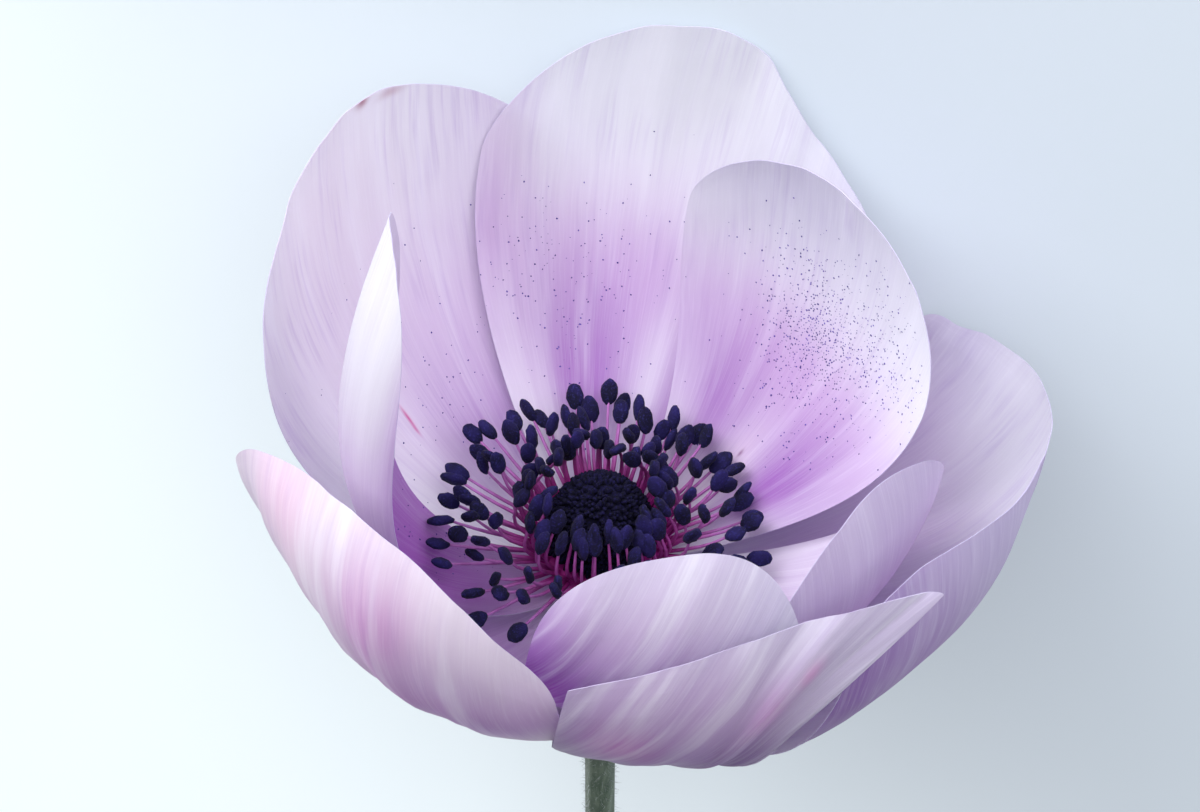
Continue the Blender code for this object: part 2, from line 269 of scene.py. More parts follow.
def petalSurface(petal, along, across):
    # the solids' petal rule on whole arrays; gives points in metres and the reach along the petal
    samples, longest = 240, 1.15
    base, middle, tip = (math.radians(a) for a in petal["rise"])
    q = np.linspace(0, longest, samples)
    slopes = base * (1 - q) * (1 - 2 * q) + middle * 4 * q * (1 - q) + tip * q * (2 * q - 1)
    leans = math.radians(petal["lean"]) * q
    step = petal["length"] * mm * longest / (samples - 1)
    total = lambda x: np.concatenate([[0], np.cumsum(x)[:-1]]) * step
    baseRadius = petalBuild["baseRadius"] - petalBuild["baseStep"] * petal["layer"]
    aways = baseRadius * mm + total(np.cos(slopes) * np.cos(leans))
    ups = petalBuild["layerStep"] * petal["layer"] * mm + total(np.sin(slopes) * np.cos(leans))
    asides = total(np.sin(leans))

    halfClaw, halfWidth = petalBuild["claw"] * mm / 2, petal["width"] * mm / 2
    half = halfClaw + (halfWidth - halfClaw) * np.sin(np.pi / 2 * along) ** petal["fullness"]
    half = half * (1 - petal["pinch"] * np.sin(np.pi * along ** petalBuild["pinchPlace"]) * (across > 0))
    end = np.maximum(1 - np.abs(across) ** petal["tip"], 0) ** (1 / petal["tip"])
    shoulder = petal["shoulder"]
    reach = along * (shoulder + (1 - shoulder) * end) * (1 + petal["slant"] * across * along)
    if petal["edge"]:
        places, changes = zip(*petal["edge"])
        reach = reach * (1 + np.interp(across, places, changes) * along ** 3)
    away, up, aside, slope, lean = (np.interp(reach, q, line) for line in (aways, ups, asides, slopes, leans))
    near, far = petal["hollow"]
    bend = (near + (far - near) * reach) * (1 + petal["oneSided"] * across)
    flat = np.sin(bend * across * half) / bend
    raised = (1 - np.cos(bend * across * half)) / bend
    roll = math.radians(petal["twist"]) * reach
    sideways = flat * np.cos(roll) - raised * np.sin(roll)
    inwards = flat * np.sin(roll) + raised * np.cos(roll)
    out = away - inwards * np.sin(slope) - sideways * np.sin(lean) * np.cos(slope)
    height = up + inwards * np.cos(slope) - sideways * np.sin(lean) * np.sin(slope)
    beside = aside + sideways * np.cos(lean)
    turn = math.radians(petal["azimuth"])
    points = np.stack([
        out * math.cos(turn) - beside * math.sin(turn),
        out * math.sin(turn) + beside * math.cos(turn),
        height,
    ], -1)
    return points, reach


def petalGrid(rows, columns):
    along, side = np.meshgrid(np.linspace(0, 1, rows + 1), np.linspace(-1, 1, columns + 1), indexing="ij")
    return along, np.sin(np.pi / 2 * side)


def pointTree(names, rows=36):
    along, across = petalGrid(rows, rows)
    points = [petalSurface(petals[name], along, across)[0].reshape(-1, 3) for name in names]
    points = np.concatenate(points)
    tree = KDTree(len(points))
    for index, point in enumerate(points):
        tree.insert(point, index)
    tree.balance()
    return tree


def roomAround(name, along, side):
    # distance to the nearest other petal, found on a coarse grid and spread over the fine one
    tree = pointTree([other for other in petals if other != name])
    coarse = 24
    coarseAlong, coarseAcross = petalGrid(coarse, coarse)
    points = petalSurface(petals[name], coarseAlong, coarseAcross)[0]
    room = np.array([[tree.find(p)[2] for p in row] for row in points])
    i = np.clip(along * coarse, 0, coarse - 1e-6)
    j = np.clip((side + 1) / 2 * coarse, 0, coarse - 1e-6)
    i0, j0 = i.astype(int), j.astype(int)
    a, b = i - i0, j - j0
    return (room[i0, j0] * (1 - a) * (1 - b) + room[i0 + 1, j0] * a * (1 - b)
            + room[i0, j0 + 1] * (1 - a) * b + room[i0 + 1, j0 + 1] * a * b)


def petalRelief(petal, seed, along, across, reach):
    # long ribs that fan out from the base, finer ones between them, and a wavy rim, in metres
    count = petal["ribCount"]
    across = across - 2 * petal["ribSlant"] * (reach - 0.7)
    drift = 0.35 * softNoise(across * 1.5, reach * 2.2, seed + 3)
    ribs = softNoise(across * count / 2 + drift, reach * 1.3, seed)
    fine = softNoise(across * count * 1.6 + drift * 2, reach * 2.0, seed + 1)
    crease = 1 - 2 * np.abs(softNoise(across * count / 3 + 4, reach * 0.9, seed + 2))
    relief = petal["ribs"] * (0.55 * ribs + 0.25 * fine + 0.3 * crease) * rampUp(reach, 0.08, 0.4)
    rim = rampUp(along, 0.55, 1.0)
    wave = softNoise(across * 3.1, reach * 1.5, seed + 4) + 0.5 * softNoise(across * 7.5, reach * 2, seed + 5)
    return (relief + petal["waves"] * wave * rim) * mm


def makePetal(name, seed):
    petal = petals[name]
    rows, columns = petalBuild["rows"], petalBuild["columns"]
    along, across = petalGrid(rows, columns)
    side = np.linspace(-1, 1, columns + 1)[None, :] + 0 * along
    points, reach = petalSurface(petal, along, across)
    normals = np.cross(np.gradient(points, axis=0), np.gradient(points, axis=1))
    normals /= np.linalg.norm(normals, axis=-1, keepdims=True) + 1e-12
    room = roomAround(name, along, side) - petalBuild["keepClear"] * mm
    allowed = np.maximum(room, 0) * petalBuild["roomShare"]
    relief = petalRelief(petal, seed, along, across, reach)
    relief = np.clip(relief, -allowed, allowed)
    points = points + normals * relief[..., None]

    number = np.arange((rows + 1) * (columns + 1)).reshape(rows + 1, columns + 1)
    quads = np.stack([number[:-1, :-1], number[1:, :-1], number[1:, 1:], number[:-1, 1:]], -1).reshape(-1, 4)
    piece = meshObject(name + "_blade", toWorldPoints(points.reshape(-1, 3)), quads.tolist())
    piece.data.shade_smooth()

    flatUv = np.stack([(across + 1) / 2, reach], -1).reshape(-1, 2)
    uvLayer = piece.data.uv_layers.new(name="PetalMap")
    corners = np.zeros(len(piece.data.loops), int)
    piece.data.loops.foreach_get("vertex_index", corners)
    uvLayer.data.foreach_set("uv", flatUv[corners].astype(np.float32).reshape(-1))

    fromEdge = np.minimum(1 - np.abs(side), (1 - along) * 1.5)
    thinnest = petalBuild["thinnest"]
    thick = (thinnest + (1 - thinnest) * rampUp(fromEdge, 0, petalBuild["rimWidth"])).reshape(-1)
    group = piece.vertex_groups.new(name="thickness")
    levels = 10
    for level in range(levels + 1):
        chosen = np.nonzero(np.round(thick * levels) == level)[0].tolist()
        if chosen:
            group.add(chosen, level / levels, "REPLACE")
    solidify = piece.modifiers.new("thickness", "SOLIDIFY")
    solidify.thickness = petalBuild["thickness"] * mm
    solidify.offset = 0
    solidify.vertex_group = "thickness"
    solidify.thickness_vertex_group = 0
    solidify.material_offset = 1
    solidify.material_offset_rim = 2
    solidify.use_quality_normals = True
    return piece


# each face has a pale ground, stains and veins; a stain is its colour, its place along (0 at the base,
# 1 at the tip) and across (-1 to 1), its spread along and across, and its strength; some stains are painted
# shade
# the second colour is painted shade: a grey lilac laid on rims and margins that lie in shade
coolWhite, shadeLilac = srgb(232, 232, 238), srgb(196, 190, 212)
# the third colour is deep violet pigment and painted shade together
lilac, violet, deepVioletAndShade = srgb(204, 168, 216), srgb(156, 92, 182), srgb(116, 66, 150)
pinkViolet, rose = srgb(206, 124, 200), srgb(234, 200, 222)

hiddenFace = dict(pale=coolWhite, veins=0.3, ridgeHighlights=0.2, stains=[
    (lilac, 0.45, 0, 0.3, 1.5, 0.7), (violet, 0.2, 0, 0.2, 1.2, 0.7)])

petalLooks = {
    "petal_back": dict(
        inner=dict(pale=coolWhite, veins=0.25, ridgeHighlights=0.3, stains=[
            # the first stain here is painted shade on the margin at the tip
            (shadeLilac, 0.95, -0.9, 0.5, 0.45, 0.5), (lilac, 0.48, 0.1, 0.16, 1.3, 0.75),
            (violet, 0.28, 0.5, 0.2, 0.42, 0.95), (violet, 0.25, -0.3, 0.16, 0.4, 0.75),
            # the first stain here is a painted shade strip along the margin that turns back
            (lilac, 0.55, 0.95, 0.3, 0.16, 0.5), (coolWhite, 0.3, -0.02, 0.16, 0.12, 0.4)]),
        outer=hiddenFace),
    "petal_left_back": dict(
        inner=dict(pale=coolWhite, veins=0.35, ridgeHighlights=0.35, stains=[
            # the second stain here is painted shade on the margin beside petal_back
            (rose, 0.8, 0.3, 0.4, 0.8, 0.3), (lilac, 0.95, -0.85, 0.5, 0.35, 0.35),
            (lilac, 0.45, -0.4, 0.22, 0.9, 0.55), (violet, 0.26, -0.3, 0.14, 0.7, 0.65)]),
        outer=hiddenFace),
    "petal_right_back": dict(
        inner=dict(pale=coolWhite, veins=0.25, ridgeHighlights=0.25, stains=[
            # the first stain here is painted shade along the tip
            (shadeLilac, 0.95, 0.3, 0.2, 0.9, 0.55), (lilac, 0.5, 0, 0.16, 1.4, 0.8),
            (violet, 0.3, -0.6, 0.2, 0.5, 0.95), (violet, 0.32, 0.6, 0.2, 0.55, 0.8),
            (rose, 0.24, 0.02, 0.1, 0.2, 0.25)]),
        outer=hiddenFace),
    "petal_right": dict(
        inner=dict(pale=coolWhite, veins=0.3, ridgeHighlights=0.3, stains=[
            # the first stain here is painted shade along the margin
            (shadeLilac, 0.8, 0.9, 0.5, 0.25, 0.8), (lilac, 0.5, 0.2, 0.2, 1.0, 0.6),
            (violet, 0.26, 0.3, 0.18, 1.0, 0.6)]),
        # petal_right's outer face: its dark ground and deep violet are partly pigment and partly painted
        # shade
        outer=dict(pale=srgb(176, 158, 196), veins=0.25, ridgeHighlights=0.2, stains=[
            (violet, 0.6, -0.7, 0.3, 0.8, 0.6), (deepVioletAndShade, 0.62, -0.95, 0.3, 0.35, 0.75),
            # the next stain is painted shade near the tip
            (shadeLilac, 0.95, -0.4, 0.25, 0.4, 0.6)])),
    "petal_left_front": dict(
        inner=hiddenFace,
        outer=dict(pale=srgb(222, 212, 224), veins=0.2, ridgeHighlights=0.55, stains=[
            (rose, 0.85, -0.5, 0.14, 0.3, 0.7), (pinkViolet, 0.8, 0.22, 0.13, 0.22, 0.75),
            (lilac, 0.68, 0.6, 0.14, 0.5, 0.7), (pinkViolet, 0.62, 0.2, 0.08, 0.6, 0.5),
            (violet, 0.6, 0.7, 0.08, 0.5, 0.5)])),
    "petal_left_inner": dict(
        inner=dict(pale=srgb(224, 214, 230), veins=0.15, ridgeHighlights=0.1, stains=[
            (violet, 0.35, 0, 0.4, 2.0, 1.0), (srgb(160, 84, 180), 0.25, 0, 0.16, 2.0, 0.6)]),
        outer=dict(pale=srgb(228, 228, 234), veins=0.15, ridgeHighlights=0.2, stains=[
            (lilac, 0.5, 0, 0.2, 2.0, 0.6), (violet, 0.75, 1.0, 0.35, 0.14, 0.5)])),
    "petal_front_outer": dict(
        inner=hiddenFace,
        outer=dict(pale=srgb(192, 182, 206), veins=0.15, ridgeHighlights=0.55, stains=[
            (lilac, 0.8, -0.2, 0.14, 0.9, 0.5), (violet, 0.62, -0.1, 0.13, 1.4, 0.65),
            (pinkViolet, 0.66, -0.6, 0.08, 0.22, 0.6), (pinkViolet, 0.84, 0.35, 0.07, 0.16, 0.45),
            # this deep violet is partly pigment and partly painted shade on the side away from the light
            (deepVioletAndShade, 0.62, 0.6, 0.16, 0.5, 0.6)])),
    "petal_front_inner": dict(
        inner=hiddenFace,
        outer=dict(pale=srgb(198, 190, 210), veins=0.15, ridgeHighlights=0.6, stains=[
            (lilac, 0.74, -0.2, 0.16, 0.9, 0.6), (violet, 0.66, -0.95, 0.24, 0.42, 0.95),
            # the last stain here is painted shade on the margin at the tip
            (srgb(176, 84, 196), 0.58, -0.9, 0.1, 0.3, 0.8), (shadeLilac, 0.95, 0.85, 0.3, 0.3, 0.6)])),
    "petal_right_inner": dict(
        inner=dict(pale=coolWhite, veins=0.35, ridgeHighlights=0.3, stains=[
            (lilac, 0.5, 0, 0.25, 1.5, 0.6), (violet, 0.25, 0, 0.14, 1.2, 0.5)]),
        outer=dict(pale=srgb(194, 180, 208), veins=0.12, ridgeHighlights=0.15, stains=[
            (lilac, 0.68, 0, 0.14, 2.0, 0.7), (violet, 0.5, 0.2, 0.14, 1.2, 0.5)])),
}

petalSkin = {
    "roughness": 0.5,
    "throughLight": 0.42,       # share of light that passes through the blade
    "sheen": 0.12,
    "streakShift": 0.045,       # how far a stain's border runs along single veins
    # the white of the painted highlights on the ridges, also used for the fine pale lines
    "highlightAndLineWhite": srgb(250, 250, 255),
    "veinTint": srgb(206, 184, 226),
    "hairlines": 0.2,           # strength of the finest lines
    "wobble": 0.03,             # how far all streaks bend sideways
    "slantFrom": 0.7,           # place along the petal where slanting streaks keep their place
}

# streaks of each kind: count across, count along, detail and shift of the pattern
petalStreaks = {
    "broad": (13.0, 1.6, 3.0, 0.0),
    "veins": (64.0, 3.0, 3.0, 5.0),
    "hairlines": (210.0, 7.0, 2.0, 9.0),
    "patches": (7.0, 5.0, 1.0, 12.0),
}

# small marks, written like stains but with borders that don't run
petalMarks = {
    "petal_left_back_inner": [
        (srgb(170, 112, 132), 0.997, -0.035, 0.012, 0.035, 0.85),
        (srgb(190, 150, 165), 0.98, -0.2, 0.01, 0.06, 0.5),
        (srgb(205, 56, 140), 0.384, 0.264, 0.022, 0.012, 0.8),
        (srgb(205, 70, 150), 0.36, 0.272, 0.012, 0.01, 0.6)],
    # this pink spot is a painted shadow near the rim
    "petal_front_outer_outer": [(srgb(222, 150, 205), 0.95, 0.5, 0.03, 0.07, 0.5)],
    "petal_right_back_inner": [(srgb(120, 60, 120), 0.3, 0.02, 0.01, 0.02, 0.7)],
}


def paintSpots(tree, colour, along, across, spots):
    # soft oval spots laid over a colour, written as stains are
    for tint, atAlong, atAcross, overAlong, overAcross, strength in spots:
        a = maths(tree, "DIVIDE", maths(tree, "SUBTRACT", along, atAlong), overAlong)
        b = maths(tree, "DIVIDE", maths(tree, "SUBTRACT", across, atAcross), overAcross)
        far = maths(tree, "MULTIPLY_ADD", a, a, maths(tree, "MULTIPLY", b, b))
        near = maths(tree, "EXPONENT", maths(tree, "MULTIPLY", far, -1.0))
        colour = mixColours(tree, maths(tree, "MULTIPLY", near, strength), colour, tint)
    return colour


def petalMaterial(name, look, slant, seed):
    material = newMaterial(name)
    tree = material.node_tree
    uv = addNode(tree, "ShaderNodeUVMap", uv_map="PetalMap").outputs[0]
    parts = addNode(tree, "ShaderNodeSeparateXYZ", {0: uv})
    u, v = parts.outputs[0], parts.outputs[1]
    bend = petalSkin["wobble"]
    wobblePlace = addNode(tree, "ShaderNodeVectorMath", {0: uv, 1: (3.0, 3.0, 1.0), 2: (seed, 0.0, 0.0)},
                          operation="MULTIPLY_ADD")
    wobble = noiseAt(tree, wobblePlace.outputs[0], 1.0)
    straightU = maths(tree, "MULTIPLY_ADD", wobble, bend, u)
    bentU = maths(tree, "MULTIPLY_ADD", maths(tree, "SUBTRACT", v, petalSkin["slantFrom"]), -slant, straightU)
    wobblyU = maths(tree, "MULTIPLY_ADD", wobble, 2 * bend, u)
    wobblyAcross = maths(tree, "MULTIPLY_ADD", wobblyU, 2.0, -1 - 2 * bend)
    across = maths(tree, "MULTIPLY_ADD", u, 2.0, -1.0)

    def streaks(kind):
        count, stretch, detail, shift = petalStreaks[kind]
        place = addNode(tree, "ShaderNodeCombineXYZ", {
            0: maths(tree, "MULTIPLY", bentU, count),
            1: maths(tree, "MULTIPLY", v, stretch),
            2: seed + shift})
        return noiseAt(tree, place.outputs[0], 1.0, detail, 0.6)

    broad, veins, hairlines = streaks("broad"), streaks("veins"), streaks("hairlines")
    patches = clampRange(tree, streaks("patches"), 0.36, 0.64)
    shifted = maths(tree, "MULTIPLY_ADD", maths(tree, "SUBTRACT", broad, 0.5), petalSkin["streakShift"], v)
    colour = paintSpots(tree, look["pale"], shifted, wobblyAcross, look["stains"])

    # painted highlights on the ridges, with deeper veins between them, and fine pale lines over all
    ridgeHighlight = maths(tree, "MULTIPLY", clampRange(tree, broad, 0.44, 0.74), look["ridgeHighlights"])
    colour = mixColours(tree, ridgeHighlight, colour, mixColours(tree, 0.75, colour, petalSkin["highlightAndLineWhite"]))
    deep = mixColours(tree, 1.0, colour, petalSkin["veinTint"], "MULTIPLY")
    patchy = maths(tree, "MULTIPLY", patches, look["veins"])
    amount = maths(tree, "MULTIPLY", clampRange(tree, veins, 0.42, 0.72), patchy)
    colour = mixColours(tree, amount, colour, deep)
    amount = maths(tree, "MULTIPLY", clampRange(tree, hairlines, 0.45, 0.75), petalSkin["hairlines"])
    colour = mixColours(tree, amount, colour, mixColours(tree, 0.6, colour, petalSkin["highlightAndLineWhite"]))
    colour = paintSpots(tree, colour, v, across, petalMarks.get(name, []))

    height = maths(tree, "MULTIPLY_ADD", veins, 0.7, maths(tree, "MULTIPLY", hairlines, 0.5))
    bump = bumpFrom(tree, height, 0.35, 0.0001)
    shader = addNode(tree, "ShaderNodeBsdfPrincipled", {
        "Base Color": colour, "Normal": bump, "Roughness": petalSkin["roughness"],
        "Specular IOR Level": 0.3, "Sheen Weight": petalSkin["sheen"], "Sheen Roughness": 0.4})
    through = addNode(tree, "ShaderNodeBsdfTranslucent", {"Color": colour, "Normal": bump})
    mixed = addNode(tree, "ShaderNodeMixShader", {
        0: petalSkin["throughLight"], 1: shader.outputs[0], 2: through.outputs[0]})
    addNode(tree, "ShaderNodeOutputMaterial", {0: mixed.outputs[0]})
    return material


rimLook = dict(pale=srgb(198, 190, 216), veins=0.3, ridgeHighlights=0.1, stains=[])
petalRim = petalMaterial("petal_rim", rimLook, 0.0, 3.0)
for index, name in enumerate(petals):
    seed = 11 + index * 7
    blade = makePetal(name, seed)
    for face, shift in (("inner", 0.0), ("outer", 2.5)):
        look, slant = petalLooks[name][face], petals[name]["ribSlant"]
        blade.data.materials.append(petalMaterial(name + "_" + face, look, slant, seed + shift))
    blade.data.materials.append(petalRim)
    plainMesh(blade)
    blade.data.set_sharp_from_angle(angle=math.radians(petalBuild["sharpAngle"]))
    finishPiece(blade, "petal", name)
print("petals done")


# geometry node helpers
def newTree(name, inputs):
    tree = bpy.data.node_groups.new(name, "GeometryNodeTree")
    tree.interface.new_socket("Geometry", in_out="INPUT", socket_type="NodeSocketGeometry")
    for label, kind in inputs.items():
        tree.interface.new_socket(label, in_out="INPUT", socket_type="NodeSocket" + kind)
    tree.interface.new_socket("Geometry", in_out="OUTPUT", socket_type="NodeSocketGeometry")
    return tree, tree.nodes.new("NodeGroupInput"), tree.nodes.new("NodeGroupOutput")


def growTree(piece, tree, values):
    modifier = piece.modifiers.new("grow", "NODES")
    modifier.node_group = tree
    for item in tree.interface.items_tree:
        if item.in_out == "INPUT" and item.name in values:
            modifier[item.identifier] = values[item.name]
    plainMesh(piece)


def randomBetween(tree, low, high, seed):
    made = addNode(tree, "FunctionNodeRandomValue", {2: low, 3: high, "Seed": seed}, data_type="FLOAT")
    return made.outputs[1]


def turnedBy(tree, rotation, angles):
    made = addNode(tree, "FunctionNodeRotateRotation", {0: rotation, 1: angles}, rotation_space="LOCAL")
    return made.outputs[0]


def withMaterial(tree, geometry, material):
    made = addNode(tree, "GeometryNodeSetMaterial", {"Geometry": geometry, "Material": material})
    return made.outputs[0]


def joinInto(tree, *parts):
    both = tree.nodes.new("GeometryNodeJoinGeometry")
    for part in parts:
        tree.links.new(part, both.inputs[0])
    return both.outputs[0]


def scatterTree(name):
    # instances of one object on a surface, standing along its normals, joined to that surface if it is kept
    tree, start, end = newTree(name, {
        "Seed": "Int", "Density": "Float", "Shape": "Object", "Smallest": "Float", "Tilt": "Float",
        "Keep Surface": "Bool", "Material": "Material"})
    add = lambda kind, inputs=None, **settings: addNode(tree, kind, inputs, **settings)
    amount = add("GeometryNodeInputNamedAttribute", {"Name": "amount"}, data_type="FLOAT")
    density = add("ShaderNodeMath", {0: amount.outputs[0], 1: start.outputs["Density"]}, operation="MULTIPLY")
    scatter = add("GeometryNodeDistributePointsOnFaces", {
        "Mesh": start.outputs[0], "Density": density.outputs[0], "Seed": start.outputs["Seed"]},
        distribute_method="RANDOM")
    least = add("ShaderNodeMath", {0: start.outputs["Tilt"], 1: -1.0}, operation="MULTIPLY")
    lean = [randomBetween(tree, least.outputs[0], start.outputs["Tilt"], shift) for shift in (3, 4)]
    spin = randomBetween(tree, 0.0, math.tau, 5)
    angles = add("ShaderNodeCombineXYZ", {0: lean[0], 1: lean[1], 2: spin})
    shape = add("GeometryNodeObjectInfo", {"Object": start.outputs["Shape"]})
    grown = add("GeometryNodeInstanceOnPoints", {
        "Points": scatter.outputs["Points"], "Instance": shape.outputs["Geometry"],
        "Rotation": turnedBy(tree, scatter.outputs["Rotation"], angles.outputs[0]),
        "Scale": randomBetween(tree, start.outputs["Smallest"], 1.0, 6)})
    real = add("GeometryNodeRealizeInstances", {0: grown.outputs[0]})
    coloured = withMaterial(tree, real.outputs[0], start.outputs["Material"])
    kept = add("GeometryNodeSwitch", {0: start.outputs["Keep Surface"], 2: start.outputs[0]},
               input_type="GEOMETRY")
    tree.links.new(joinInto(tree, kept.outputs[0], coloured), end.inputs[0])
    return tree


def setAmount(piece, values):
    attribute = piece.data.attributes.new("amount", "FLOAT", "POINT")
    attribute.data.foreach_set("value", np.asarray(values, np.float32))


def templateFromBmesh(name, shape):
    bmesh.ops.recalc_face_normals(shape, faces=shape.faces[:])
    mesh = bpy.data.meshes.new(name)
    shape.to_mesh(mesh)
    shape.free()
    mesh.shade_smooth()
    made = bpy.data.objects.new(name, mesh)
    bpy.context.scene.collection.objects.link(made)
    return made


def dropTemplate(piece):
    bpy.data.objects.remove(piece, do_unlink=True)


def turnedPiece(name, profile, sides):
    # a profile of (radius, height) in millimetres turned about the bloom's axis
    vertices, faces, rings = [], [], []
    for radius, height in profile:
        if radius == 0:
            rings.append([len(vertices)] * sides)
            vertices.append((0, 0, height * mm))
            continue
        rings.append(list(range(len(vertices), len(vertices) + sides)))
        for k in range(sides):
            angle = 2 * math.pi * k / sides
            vertices.append((radius * mm * math.cos(angle), radius * mm * math.sin(angle), height * mm))
    for low, high in zip(rings, rings[1:]):
        for k in range(sides):
            corners = [low[k], low[(k + 1) % sides], high[(k + 1) % sides], high[k]]
            faces.append(list(dict.fromkeys(corners)))
    piece = meshObject(name, toWorldPoints(np.array(vertices)), faces)
    shape = bmesh.new()
    shape.from_mesh(piece.data)
    bmesh.ops.recalc_face_normals(shape, faces=shape.faces[:])
    shape.to_mesh(piece.data)
    shape.free()
    piece.data.shade_smooth()
    return piece


# stamens
stamens = {
    "count": 150,
    "crowd": 55,                        # how many stand close round the dome
    "seed": 21,
    "collar": (2.8, 5.8, 5.5, 6.5),     # inner and outer radius, bottom and top
    "crowdReach": (5.4, 7.8),
    "crowdHeight": (13.2, 11.8),
    "outerReach": (8.6, 15.3),
    "outerHeight": (11.4, 8.5),
    "crowding": 0.75,
    "uprightReach": 7.4,
    "rootDepth": 0.7,
    "clearance": 1.75,
    "filamentRadius": 0.2,
    "antherLength": 2.75,
    "antherWidth": 1.6,
    "antherDepth": 1.15,
}


def filamentPath(turn, reach, height, rootHeight):
    # in millimetres
    outward = Vector((math.cos(turn), math.sin(turn), 0))
    root = outward * (stamens["collar"][1] - stamens["rootDepth"]) + Vector((0, 0, rootHeight))
    tip = outward * reach + Vector((0, 0, height))
    bow = 1.5 - 0.1 * (reach - stamens["uprightReach"])
    return [root * mm, (root.lerp(tip, 0.5) + outward * bow) * mm, tip * mm]


def stamenPaths():
    # the same rule and draws as the solids
    draw = random.Random(stamens["seed"])
    tree = pointTree(list(petals), 40)
    golden = math.pi * (3 - math.sqrt(5))
    between = lambda ends, share: ends[0] + (ends[1] - ends[0]) * share
    crowd, count = stamens["crowd"], stamens["count"]
    paths = []
    for i in range(count):
        turn = i * golden + draw.uniform(-0.08, 0.08)
        if i < crowd:
            place = (i + 0.5) / crowd
            reach, height = between(stamens["crowdReach"], place), between(stamens["crowdHeight"], place)
        else:
            place = (i - crowd + 0.5) / (count - crowd)
            reach = between(stamens["outerReach"], place ** stamens["crowding"])
            height = between(stamens["outerHeight"], place)
        reach += draw.uniform(-0.5, 0.5)
        height += draw.uniform(-0.9, 0.9)
        rootHeight = stamens["collar"][3] - (0.35 + 0.3 * i / count)
        path = filamentPath(turn, reach, height, rootHeight)
        while min(tree.find(point)[2] for point in path[1:]) < stamens["clearance"] * mm:
            reach *= 0.97
            height += 0.12
            path = filamentPath(turn, reach, height, rootHeight)
        paths.append(path)
    return paths


def antherShape():
    # an oval body with a groove along each broad side, its foot a quarter of the way down
    shape = bmesh.new()
    bmesh.ops.create_uvsphere(shape, u_segments=12, v_segments=8, radius=0.5)
    for vertex in shape.verts:
        x, y, z = vertex.co
        angle = math.atan2(y, x)
        dent = 1 - 0.26 * max(0, abs(math.sin(angle)) - 0.7) / 0.3
        fuller = 1 + 0.12 * (1 - 4 * z * z)
        vertex.co = Vector((
            x * stamens["antherWidth"] * fuller,
            y * stamens["antherDepth"] * dent * fuller,
            (z + 0.25) * stamens["antherLength"],
        )) * mm
    return templateFromBmesh("antherShape", shape)


def stamenTree():
    tree, start, end = newTree("stamenTree", {
        "Filament Radius": "Float", "Anther": "Object", "Smallest": "Float", "Roughness": "Float",
        "Seed": "Int", "Filament Material": "Material", "Anther Material": "Material"})
    add = lambda kind, inputs=None, **settings: addNode(tree, kind, inputs, **settings)
    line = add("GeometryNodeMeshToCurve", {"Mesh": start.outputs[0]})
    smooth = add("GeometryNodeCurveSplineType", {"Curve": line.outputs[0]}, spline_type="CATMULL_ROM")
    even = add("GeometryNodeResampleCurve", {"Curve": smooth.outputs[0], "Count": 8}, mode="COUNT")
    factor = add("GeometryNodeSplineParameter").outputs[0]
    narrow = add("ShaderNodeMapRange", {0: factor, 1: 0.0, 2: 1.0, 3: 1.25, 4: 0.62})
    radius = maths(tree, "MULTIPLY", narrow.outputs[0], start.outputs["Filament Radius"])
    ring = add("GeometryNodeCurvePrimitiveCircle", {"Resolution": 6, "Radius": 1.0}, mode="RADIUS")
    rods = add("GeometryNodeCurveToMesh", {
        "Curve": even.outputs[0], "Profile Curve": ring.outputs[0], "Scale": radius, "Fill Caps": True})

    last = add("GeometryNodeCurveEndpointSelection", {"Start Size": 0, "End Size": 1})
    tangent = add("GeometryNodeInputTangent")
    aim = add("FunctionNodeAlignRotationToVector", {"Vector": tangent.outputs[0]}, axis="Z")
    nod = randomBetween(tree, -0.45, 0.45, 8)
    spin = randomBetween(tree, 0.0, math.tau, start.outputs["Seed"])
    angles = add("ShaderNodeCombineXYZ", {0: nod, 2: spin})
    shape = add("GeometryNodeObjectInfo", {"Object": start.outputs["Anther"]})
    heads = add("GeometryNodeInstanceOnPoints", {
        "Points": even.outputs[0], "Selection": last.outputs[0], "Instance": shape.outputs["Geometry"],
        "Rotation": turnedBy(tree, aim.outputs[0], angles.outputs[0]),
        "Scale": randomBetween(tree, start.outputs["Smallest"], 1.0, 9)})
    real = add("GeometryNodeRealizeInstances", {0: heads.outputs[0]})

    # a grainy surface: each point is pushed a little by a fine noise
    grain = add("ShaderNodeTexNoise", {"Scale": 2200.0, "Detail": 1.0})
    centred = add("ShaderNodeVectorMath", {0: grain.outputs["Color"], 1: (0.5, 0.5, 0.5)},
                  operation="SUBTRACT")
    pushed = add("ShaderNodeVectorMath", {0: centred.outputs[0], "Scale": start.outputs["Roughness"]},
                 operation="SCALE")
    rough = add("GeometryNodeSetPosition", {"Geometry": real.outputs[0], "Offset": pushed.outputs[0]})
    both = joinInto(
        tree,
        withMaterial(tree, rods.outputs[0], start.outputs["Filament Material"]),
        withMaterial(tree, rough.outputs[0], start.outputs["Anther Material"]))
    smoothed = add("GeometryNodeSetShadeSmooth", {"Geometry": both})
    tree.links.new(smoothed.outputs[0], end.inputs[0])
    return tree


def simpleShader(tree, colour, normal, roughness, through=0.0, sheen=0.0):
    shader = addNode(tree, "ShaderNodeBsdfPrincipled", {
        "Base Color": colour, "Normal": normal, "Roughness": roughness, "Specular IOR Level": 0.15,
        "Sheen Weight": sheen, "Sheen Roughness": 0.5})
    result = shader.outputs[0]
    if through:
        glow = addNode(tree, "ShaderNodeBsdfTranslucent", {"Color": colour, "Normal": normal})
        result = addNode(tree, "ShaderNodeMixShader", {0: through, 1: result, 2: glow.outputs[0]}).outputs[0]
    addNode(tree, "ShaderNodeOutputMaterial", {0: result})


